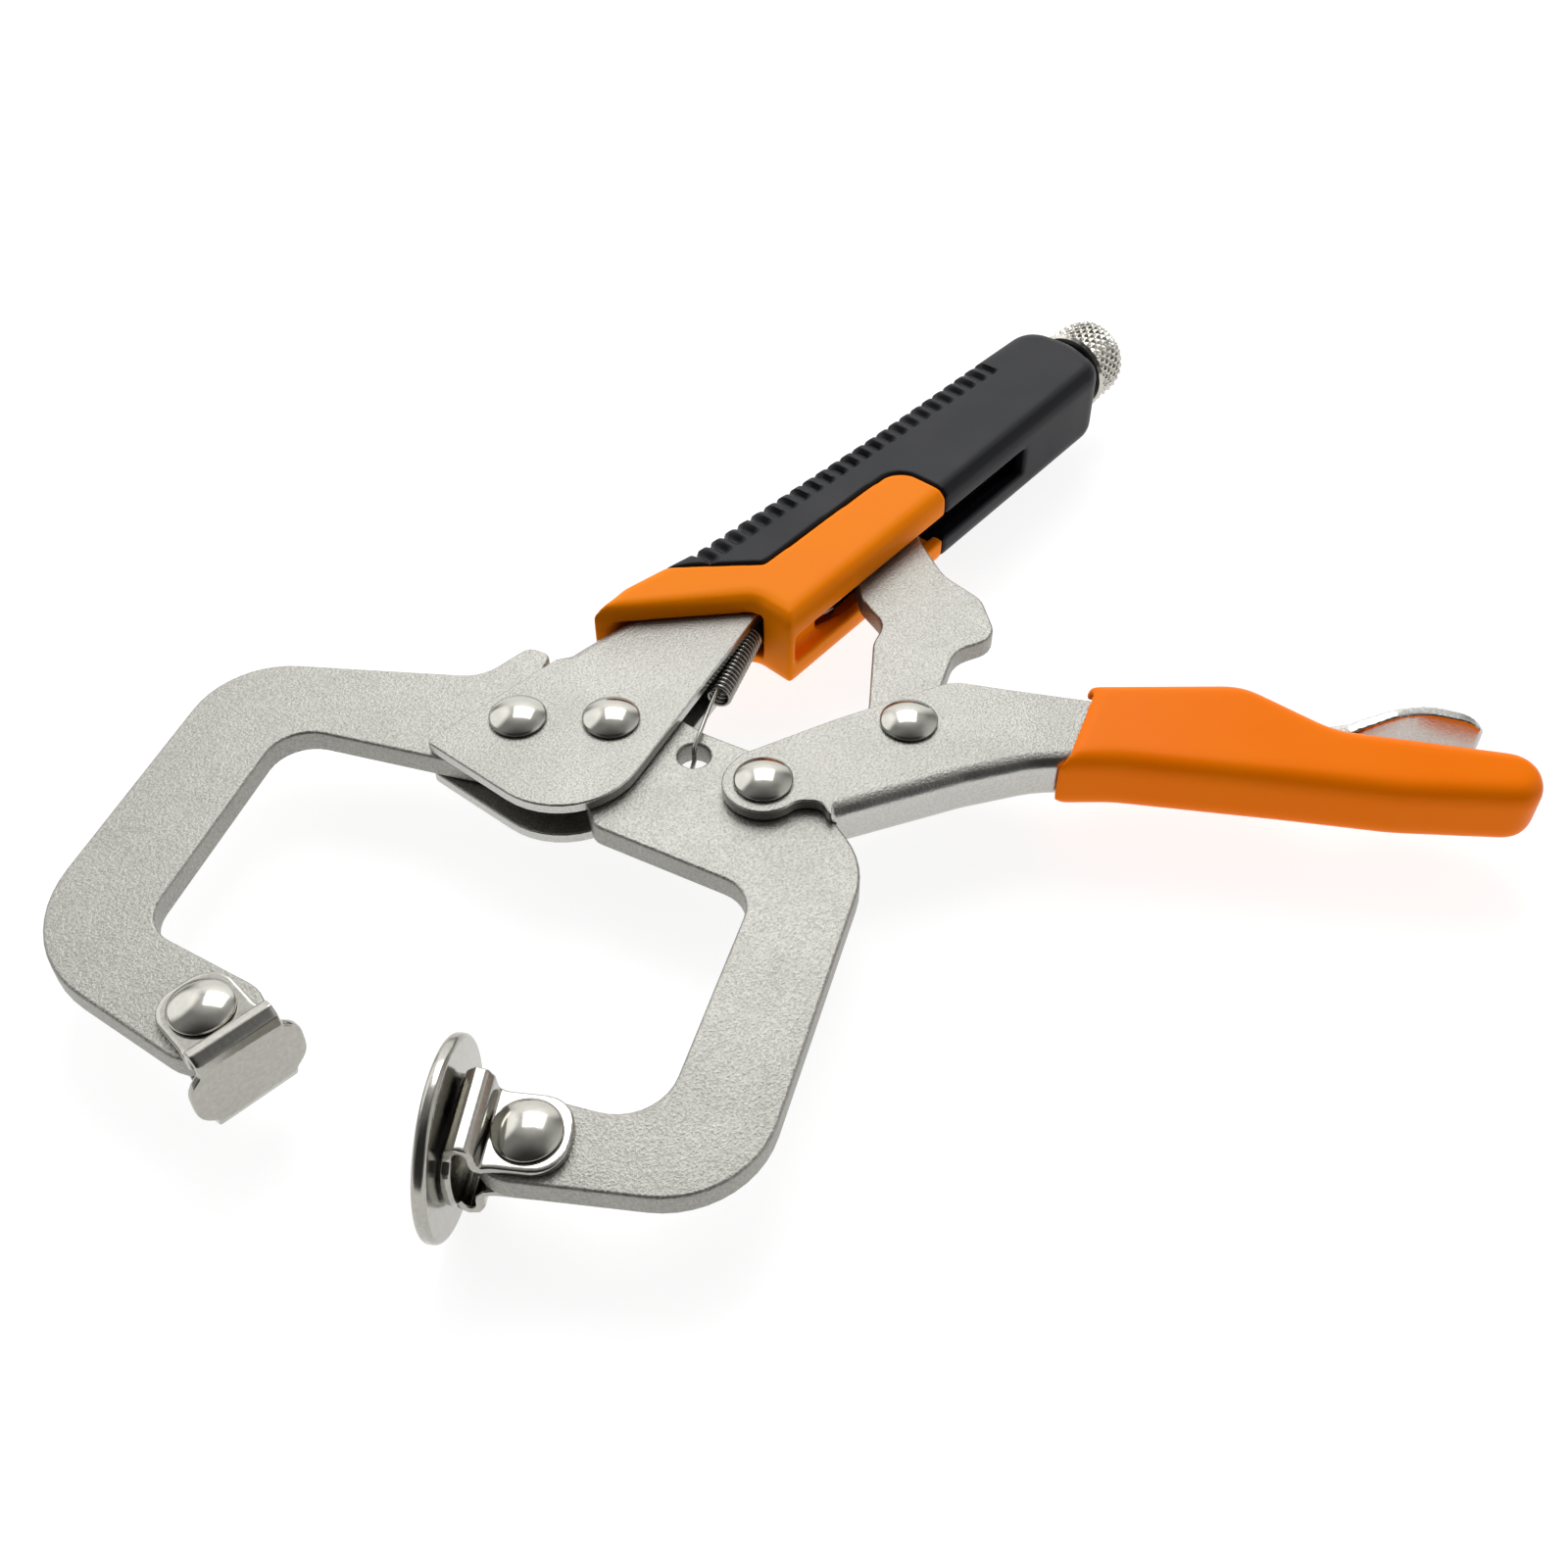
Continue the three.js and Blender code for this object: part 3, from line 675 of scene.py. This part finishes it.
@dataclass
class Rivets:
    """The round-headed rivets and the plain pins."""

    shank_mm: float = 2.9  # radius of the shank
    head_height_mm: float = 2.0
    rim_mm: float = 0.45
    rim_round_mm: float = 0.18
    dome_steps: int = 12
    pin_chamfer_mm: float = 0.3
    bodies: dict = field(
        default_factory=lambda: {
            "fixed_jaw_rivet": "frame",
            "jaw_pivot_rivet": "frame",
            "handle_pivot_rivet": "moving_jaw",
            "link_rivet": "lower_handle",
            "fixed_pad_rivet": "frame",
            "moving_pad_rivet": "moving_jaw",
        }
    )

    def profile(self, half_length: float, head: float) -> list[tuple[float, float]]:
        """The rivet's outline from its lower end on the axis to its upper end.

        Args:
            half_length: Middle of the shank to the top of the dome, in millimetres.
            head: The head's radius in millimetres.

        Returns:
            (radius, height) points.
        """
        seat = half_length - self.head_height_mm
        rim_top = seat + self.rim_mm
        soft = self.rim_round_mm
        half = [(self.shank_mm, 0.0), (self.shank_mm, seat)]
        half += [(head - soft, seat), (head, seat + soft), (head, rim_top)]
        rise = half_length - rim_top
        ball = (head**2 + rise**2) / (2 * rise)
        for k in range(1, self.dome_steps):
            radius = head * (1 - k / self.dome_steps)
            half.append((radius, half_length - ball + math.sqrt(ball**2 - radius**2)))
        half.append((0.0, half_length))
        lower = [(radius, -height) for radius, height in reversed(half[1:])]
        return lower + half

    def build(self) -> None:
        """Makes the rivets, then the two cross pins."""
        for node, body in self.bodies.items():
            low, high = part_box(node)
            half_length = (high[2] - low[2]) / 2 / MM
            head = (high[0] - low[0]) / 2 / MM
            bm = lathe(self.profile(half_length, head))
            bmesh.ops.translate(bm, verts=bm.verts, vec=middle_of(node))
            make_piece(
                bm,
                f"{node}_domed",
                [Finish.POLISHED_NICKEL],
                body,
                [node],
                ROUND_CRISP_DEG,
            )
        self.pin("spring_anchor_pin", "frame")
        self.pin("release_lever_pin", "lower_handle")

    def pin(self, node: str, body: str) -> None:
        """Makes one cross pin with chamfered ends.

        Args:
            node: The frame node of the pin.
            body: The body that it rides on.
        """
        low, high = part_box(node)
        radius = (high[0] - low[0]) / 2 / MM
        half = (high[2] - low[2]) / 2 / MM
        soft = self.pin_chamfer_mm
        outline = [(0.0, -half), (radius - soft, -half), (radius, soft - half)]
        outline += [(radius, half - soft), (radius - soft, half), (0.0, half)]
        bm = lathe(outline, steps=40)
        bmesh.ops.translate(bm, verts=bm.verts, vec=middle_of(node))
        make_piece(bm, f"{node}_turned", [Finish.ZINC_STEEL], body, [node])


@dataclass
class Pads:
    """The two swivel pads: folded sheet brackets, and the round disc."""

    record: dict
    voxel_mm: float = 0.24
    passes: int = 10
    disc_edge_mm: float = 0.8
    disc_edge_steps: int = 5
    disc_half_mm: float = 1.1  # half of the disc's thickness

    def facing(self, mount_name: str) -> Vector:
        """The direction that a pad's working face looks in."""
        mounts = {mount["name"]: mount for mount in self.record["mounts"]}
        return Vector(mounts[mount_name]["axis"])

    def build(self) -> None:
        """Makes the brackets and the disc."""
        for body in ("fixed_pad", "moving_pad"):
            node = f"{body}_bracket"
            axis = self.facing(f"{body}_face")
            angle = math.atan2(axis.y, axis.x)
            bm = remeshed(copy_of(node), self.voxel_mm, self.passes, angle)
            make_piece(bm, f"{node}_folded", [Finish.WORN_NICKEL], body, [node])
        self.disc()

    def disc(self) -> None:
        """Makes the round disc with rolled edges."""
        low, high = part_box("moving_pad_disc")
        radius = (high[2] - low[2]) / 2 / MM
        half = self.disc_half_mm
        soft = self.disc_edge_mm
        outline = [(0.0, -half)]
        for k in range(self.disc_edge_steps + 1):
            angle = k / self.disc_edge_steps * math.pi / 2
            reach, height = soft * math.sin(angle), soft * math.cos(angle)
            outline.append((radius - soft + reach, soft - half - height))
        outline += [(reach, -height) for reach, height in reversed(outline)]
        bm = lathe(outline, steps=128)
        turn = Vector((0, 0, 1)).rotation_difference(self.facing("moving_pad_face"))
        place = Matrix.Translation(middle_of("moving_pad_disc")) @ turn.to_matrix().to_4x4()
        bmesh.ops.transform(bm, matrix=place, verts=bm.verts)
        make_piece(
            bm,
            "moving_pad_disc_turned",
            [Finish.WORN_NICKEL],
            "moving_pad",
            ["moving_pad_disc"],
        )


@dataclass
class Adjuster:
    """The threaded screw and its knurled knob."""

    pitch_mm: float = 0.8
    thread_depth_mm: float = 0.42
    rings_per_turn: int = 6
    thread_taper_mm: float = 1.2  # length over which the thread runs out at each end
    screw_steps: int = 24
    knurls: int = 26
    knurl_steps: int = 10  # faces round the knob for each of them
    knurl_depth_mm: float = 0.6
    knurl_power: float = 1.6  # above 1 the diamonds' sides are hollow
    dome_mm: float = 6.2  # height of the dome at the knob's rear end
    ring_mm: float = 0.24  # length between two rings of points
    front_round_mm: float = 1.0  # length of the rounded front edge
    front_edge_mm: tuple[tuple[float, float], ...] = ((1.6, 0.0), (0.5, 0.35))  # inset and height
    plain_front_mm: tuple[float, float] = (0.8, 1.6)  # the knurl fades in between these
    plain_tip_mm: tuple[float, float] = (0.6, 3.4)  # and between these radii on the dome

    def build(self) -> None:
        """Makes the screw, then the knob."""
        self.screw()
        self.knob()

    def screw(self) -> None:
        """Makes the screw: a rod whose surface follows the thread's helix."""
        low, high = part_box("adjusting_screw")
        length = (high[0] - low[0]) / MM
        radius = (high[2] - low[2]) / 2 / MM
        rings = round(length / self.pitch_mm * self.rings_per_turn)
        outline = [(0.0, 0.0)]
        outline += [(radius, length * k / rings) for k in range(rings + 1)]
        outline.append((0.0, length))
        bm = lathe(outline, self.screw_steps)

        def thread(place: Vector, _normal: Vector) -> Vector:
            """Pulls a point of the rod into the thread's valley."""
            if place.xy.length < radius * MM / 2:
                return Vector()
            turn = place.z / MM / self.pitch_mm - math.atan2(place.y, place.x) / math.tau
            valley = abs(2 * (turn % 1.0) - 1.0)
            taper = smooth_step(
                min(place.z / MM, length - place.z / MM), 0.0, self.thread_taper_mm
            )
            depth = self.thread_depth_mm * (valley * taper + 1.0 - taper)
            return Vector((-place.x, -place.y, 0.0)).normalized() * depth * MM

        sculpt(bm, thread)
        turn = Matrix.Rotation(math.pi / 2, 4, "Y")
        middle = middle_of("adjusting_screw")
        place = Matrix.Translation((low[0], middle.y, middle.z)) @ turn
        bmesh.ops.transform(bm, matrix=place, verts=bm.verts)
        make_piece(
            bm,
            "adjusting_screw_threaded",
            [Finish.ZINC_STEEL],
            "adjusting_screw",
            ["adjusting_screw"],
            crisp_deg=80.0,
        )

    def knob(self) -> None:
        """Makes the knob: a domed barrel with a diamond knurl cut into it."""
        low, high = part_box("adjusting_knob")
        length = (high[0] - low[0]) / MM
        radius = (high[2] - low[2]) / 2 / MM
        barrel = length - self.dome_mm
        front = self.front_round_mm
        outline = [(0.0, 0.0)]
        outline += [(radius - inset, height) for inset, height in self.front_edge_mm]
        count = round((barrel - front) / self.ring_mm)
        outline += [(radius, front + (barrel - front) * k / count) for k in range(count + 1)]
        arc = round(radius * 1.2 / self.ring_mm)  # an arc over the dome is about 1.2 radii long
        for k in range(1, arc):
            angle = k / arc * math.pi / 2
            outline.append((radius * math.cos(angle), barrel + self.dome_mm * math.sin(angle)))
        outline.append((0.0, length))
        bm = lathe(outline, self.knurl_steps * self.knurls)

        def knurl(place: Vector, normal: Vector) -> Vector:
            """Cuts the valleys between the diamonds."""
            across = place.xy.length / MM
            along = place.z / MM
            fade = smooth_step(across, *self.plain_tip_mm)
            fade *= smooth_step(along, *self.plain_front_mm)
            if along > barrel:
                rise = min((along - barrel) / self.dome_mm, 1.0)
                along = barrel + math.asin(rise) * radius * 0.75  # length over the dome
            around = math.atan2(place.y, place.x) / math.tau * self.knurls
            cell = math.tau * radius / self.knurls
            first = (around + along / cell) % 1.0
            second = (around - along / cell) % 1.0
            ridge = max(abs(2 * first - 1), abs(2 * second - 1))
            return -normal * self.knurl_depth_mm * ridge**self.knurl_power * fade * MM

        sculpt(bm, knurl)
        turn = Matrix.Rotation(math.pi / 2, 4, "Y")
        middle = middle_of("adjusting_knob")
        place = Matrix.Translation((low[0], middle.y, middle.z)) @ turn
        bmesh.ops.transform(bm, matrix=place, verts=bm.verts)
        make_piece(
            bm,
            "adjusting_knob_knurled",
            [Finish.KNURLED_NICKEL],
            "adjusting_knob",
            ["adjusting_knob"],
            crisp_deg=35.0,
        )


@dataclass
class ReturnSpring:
    """The tension spring: close coils, a hook in the jaw's hole and an eye on its pin."""

    wire_mm: float = 0.4  # radius of the wire
    coil_mm: float = 2.0  # radius to the middle of the wire
    reach_mm: float = 30.7  # first coil to the anchor pin
    tilt_deg: float = 20.4
    coil_length_mm: float = 17.0
    turns: int = 17
    steps_per_turn: int = 20
    eye_mm: float = 1.95  # radius of the eye round the anchor pin
    eye_steps: int = 16
    eye_rise_mm: float = 0.03  # how far each step of the eye rises
    top_mm: float = 3.3  # height of the hook's straight part over the middle
    hook_mm: tuple[tuple[float, float, float], ...] = (  # the hook's lower end, from the hole
        (-0.9, 0.7, -3.1),
        (-0.6, 0.2, -1.5),
    )

    def route(self) -> list[Vector]:
        """The wire's middle line, from the hook in the jaw to the eye on the pin."""
        anchor = middle_of("spring_anchor_pin")
        low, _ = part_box("return_spring")
        hole = Vector((low[0] + self.wire_mm * MM, low[1] + self.wire_mm * MM, anchor.z))
        tilt = math.radians(self.tilt_deg)
        along = Vector((math.cos(tilt), math.sin(tilt), 0))
        side = Vector((-along.y, along.x, 0))
        up = Vector((0, 0, 1))
        start = anchor - along * self.reach_mm * MM
        top = anchor.z + self.top_mm * MM

        def coil(turn: float) -> Vector:
            """A point on the coil, whose first turn starts at its top."""
            angle = turn * math.tau
            travel = turn / self.turns * self.coil_length_mm * MM
            ring = (up * math.cos(angle) + side * math.sin(angle)) * self.coil_mm * MM
            return start + along * travel + ring

        first = coil(0.0)
        points = [hole + Vector(place) * MM for place in self.hook_mm]
        points += [
            Vector((hole.x, hole.y, anchor.z + 0.8 * MM)),
            Vector((hole.x + 0.15 * MM, hole.y + 0.1 * MM, top - 0.8 * MM)),
            Vector((hole.x + 0.9 * MM, hole.y + 0.6 * MM, top)),
            hole.lerp(first, 0.5).xy.to_3d() + up * top,
            first - along * 1.2 * MM + up * 0.25 * MM,
        ]
        steps = self.turns * self.steps_per_turn
        points += [coil(k / self.steps_per_turn) for k in range(steps + 1)]
        eye_start = anchor - along * self.eye_mm * MM
        points.append(coil(self.turns) + along * 0.9 * MM - up * 1.0 * MM)
        points.append(eye_start - along * 0.6 * MM)
        for k in range(self.eye_steps - 1):
            angle = k / self.eye_steps * math.tau
            ring = -along * math.cos(angle) + side * math.sin(angle)
            points.append(anchor + ring * self.eye_mm * MM + up * k * self.eye_rise_mm * MM)
        return points

    def build(self) -> None:
        """Sweeps the wire along its route."""
        curve = bpy.data.curves.new("spring_route", "CURVE")
        curve.dimensions = "3D"
        curve.bevel_depth = self.wire_mm * MM
        curve.bevel_resolution = 2
        curve.use_fill_caps = True
        points = self.route()
        spline = curve.splines.new("POLY")
        spline.points.add(len(points) - 1)
        for target, point in zip(spline.points, points):
            target.co = (*point, 1.0)
        swept = bpy.data.objects.new("spring_route", curve)
        bpy.context.scene.collection.objects.link(swept)
        graph = bpy.context.evaluated_depsgraph_get()
        mesh = bpy.data.meshes.new_from_object(swept.evaluated_get(graph))
        bm = bmesh.new()
        bm.from_mesh(mesh)
        bpy.data.objects.remove(swept)
        bpy.data.meshes.remove(mesh)
        bmesh.ops.remove_doubles(bm, verts=bm.verts, dist=MERGE)
        piece = add_object(bm, "return_spring_coil", [Finish.SPRING_WIRE])
        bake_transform(piece)
        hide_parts("return_spring")
        LOG.info("return_spring_coil: %d faces", len(piece.data.polygons))


@dataclass
class UpperGrip:
    """The two-colour moulding over the fixed handle."""

    layout: Layout
    voxel_mm: float = 0.45
    passes: int = 4
    rib_count: int = 24
    rib_start_mm: float = 38.0
    rib_end_mm: float = 125.0
    rib_depth_mm: float = 1.0
    rib_reach_mm: float = 6.6
    rib_fade_mm: float = 0.9  # length over which a slot runs out at its lower end
    back_mm: float = 17.4  # the grip's back above the jaw pivot, where the ribs start
    back_fall: float = 0.062  # how far the back falls in each millimetre along the handle
    slot_share: tuple[float, float] = (0.16, 0.32)  # half width of a slot's floor and mouth

    def ribs(self, place: Vector, normal: Vector) -> Vector:
        """Moves the black grip's back edge in between its ribs."""
        x, y, _ = self.layout.upper(place)
        back = self.back_mm - self.back_fall * (x - self.rib_start_mm)
        pitch = (self.rib_end_mm - self.rib_start_mm) / self.rib_count
        inside = self.rib_start_mm < x < self.rib_end_mm
        if not inside or y < back - 2 * self.rib_reach_mm:
            return Vector()
        part = (x - self.rib_start_mm) / pitch % 1.0
        floor, mouth = self.slot_share
        groove = smooth_step(abs(part - 0.5), mouth, floor)
        lower_end = back - self.rib_reach_mm
        near = smooth_step(y, lower_end, lower_end + self.rib_fade_mm)
        return -normal * self.rib_depth_mm * groove * near * MM

    def build(self) -> None:
        """Makes the black and the orange moulding."""
        black = remeshed(copy_of("upper_grip_black"), self.voxel_mm, self.passes)
        sculpt(black, self.ribs)
        make_piece(
            black,
            "upper_grip_black_moulding",
            [Finish.BLACK_RUBBER],
            "frame",
            ["upper_grip_black"],
            ROUND_CRISP_DEG,
        )
        orange = remeshed(copy_of("upper_grip_orange"), self.voxel_mm, self.passes)
        make_piece(
            orange,
            "upper_grip_orange_moulding",
            [Finish.ORANGE_MOULDING],
            "frame",
            ["upper_grip_orange"],
            ROUND_CRISP_DEG,
        )


@dataclass
class LowerSleeve:
    """The dipped vinyl sleeve on the lower handle."""

    layout: Layout
    voxel_mm: float = 0.5
    passes: int = 12

    def build(self) -> None:
        """Makes the sleeve."""
        bm = remeshed(
            copy_of("lower_grip_sleeve"), self.voxel_mm, self.passes, self.layout.lower_angle
        )
        make_piece(
            bm,
            "lower_grip_sleeve_dipped",
            [Finish.ORANGE_VINYL],
            "lower_handle",
            ["lower_grip_sleeve"],
            ROUND_CRISP_DEG,
        )


# ---------------------------------------------------------------- floor, light and camera


@dataclass(frozen=True)
class Glow:
    """A soft round patch of light in the room round the tool."""

    towards: tuple[float, float, float]
    inner_deg: float  # full strength within this angle
    outer_deg: float  # none beyond this one
    strength: float


@dataclass
class Stage:
    """A lit white table, soft light and the camera."""

    layout: Layout
    # Eye and aim are measured from the jaw pivot, in metres.
    eye: Vector = field(default_factory=lambda: Vector((-0.1455736, -0.1585968, 0.21697)))
    aim: Vector = field(default_factory=lambda: Vector((0.0105464, -0.0298968, 0.0)))
    lens_mm: float = 40.05
    sensor_mm: float = 36.0
    clip_m: float = 0.01
    table_m: float = 3.0
    table_gap_m: float = 0.0002  # the table's top lies this far under the tool
    ambient: float = 0.34
    lamp_at: Vector = field(default_factory=lambda: Vector((0.46, 0.38, 0.80)))
    lamp_size_m: float = 0.56
    lamp_power_w: float = 4.4
    glows: tuple[Glow, ...] = (
        Glow((0.50, 0.41, 0.76), 12.0, 40.0, 0.45),  # haze round the overhead lamp
        Glow((0.77, 0.60, 0.20), 20.0, 36.0, 1.0),  # tall panel behind
        Glow((-0.05, 0.85, 0.50), 18.0, 30.0, 1.3),  # panel on the jaws' side
        Glow((0.62, -0.65, 0.35), 15.0, 45.0, 0.5),  # wall on the handles' side
        Glow((-0.62, -0.52, 0.58), 25.0, 60.0, -0.29),  # dark round the camera
    )

    def table(self) -> None:
        """Lays the table just under the tool."""
        bm = bmesh.new()
        bmesh.ops.create_grid(bm, x_segments=2, y_segments=2, size=self.table_m)
        bmesh.ops.translate(bm, verts=bm.verts, vec=(0, 0, -self.table_gap_m))
        add_object(bm, "table", [Finish.BACKDROP])

    def lamp(self) -> None:
        """Hangs the square soft box that the plates and the rivets' domes mirror."""
        light = bpy.data.lights.new("soft_box", "AREA")
        light.shape = "SQUARE"
        light.size = self.lamp_size_m
        light.energy = self.lamp_power_w
        lamp = bpy.data.objects.new("soft_box", light)
        lamp.location = self.lamp_at
        lamp.rotation_euler = (-self.lamp_at).to_track_quat("-Z", "Y").to_euler()
        bpy.context.scene.collection.objects.link(lamp)

    def room(self) -> None:
        """A dim room with soft panels of light, and dark round the camera."""
        world = bpy.data.worlds.new("studio")
        bpy.context.scene.world = world
        world.use_nodes = True
        tree = world.node_tree
        tree.nodes.clear()
        direction = add_node(tree, "ShaderNodeTexCoord").outputs["Generated"]
        total = add_node(tree, "ShaderNodeValue").outputs["Value"]
        total.default_value = self.ambient
        for glow in self.glows:
            towards = Vector(glow.towards).normalized()
            near = add_node(
                tree,
                "ShaderNodeVectorMath",
                {0: direction, 1: tuple(towards)},
                operation="DOT_PRODUCT",
            )
            part = add_node(
                tree,
                "ShaderNodeMapRange",
                {
                    "Value": near.outputs["Value"],
                    "From Min": math.cos(math.radians(glow.outer_deg)),
                    "From Max": math.cos(math.radians(glow.inner_deg)),
                    "To Min": 0.0,
                    "To Max": glow.strength,
                },
                interpolation_type="SMOOTHSTEP",
            )
            total = add_node(
                tree, "ShaderNodeMath", {0: total, 1: part.outputs["Result"]}, operation="ADD"
            ).outputs["Value"]
        light = add_node(
            tree, "ShaderNodeBackground", {"Color": (1.0, 1.0, 1.0, 1.0), "Strength": total}
        )
        add_node(tree, "ShaderNodeOutputWorld", {"Surface": light.outputs["Background"]})

    def camera(self) -> None:
        """Sets up the camera, placed from the jaw pivot."""
        data = bpy.data.cameras.new("camera")
        data.lens = self.lens_mm
        data.sensor_width = self.sensor_mm
        data.clip_start = self.clip_m
        camera = bpy.data.objects.new("camera", data)
        camera.location = self.layout.jaw_pivot + self.eye
        camera.rotation_euler = (self.aim - self.eye).to_track_quat("-Z", "Y").to_euler()
        bpy.context.scene.collection.objects.link(camera)
        bpy.context.scene.camera = camera

    def build(self) -> None:
        """Sets up table, light and camera."""
        bpy.context.scene.view_settings.view_transform = "Standard"
        self.table()
        self.lamp()
        self.room()
        self.camera()


def main() -> None:
    """Builds every piece around the frame."""
    logging.basicConfig(level=logging.INFO, format="%(message)s")
    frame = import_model()
    NODES.update(frame["nodes"])
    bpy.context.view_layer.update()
    record = frame["record"]
    layout = Layout({joint["name"]: joint for joint in record["behaviour"]["joints"]})
    sub_assemblies = [
        Jaws(),
        Channels(layout),
        Linkage(layout),
        Rivets(),
        Pads(record),
        Adjuster(),
        ReturnSpring(),
        UpperGrip(layout),
        LowerSleeve(layout),
        Stage(layout),
    ]
    for sub_assembly in sub_assemblies:
        sub_assembly.build()


if __name__ == "__main__":
    main()
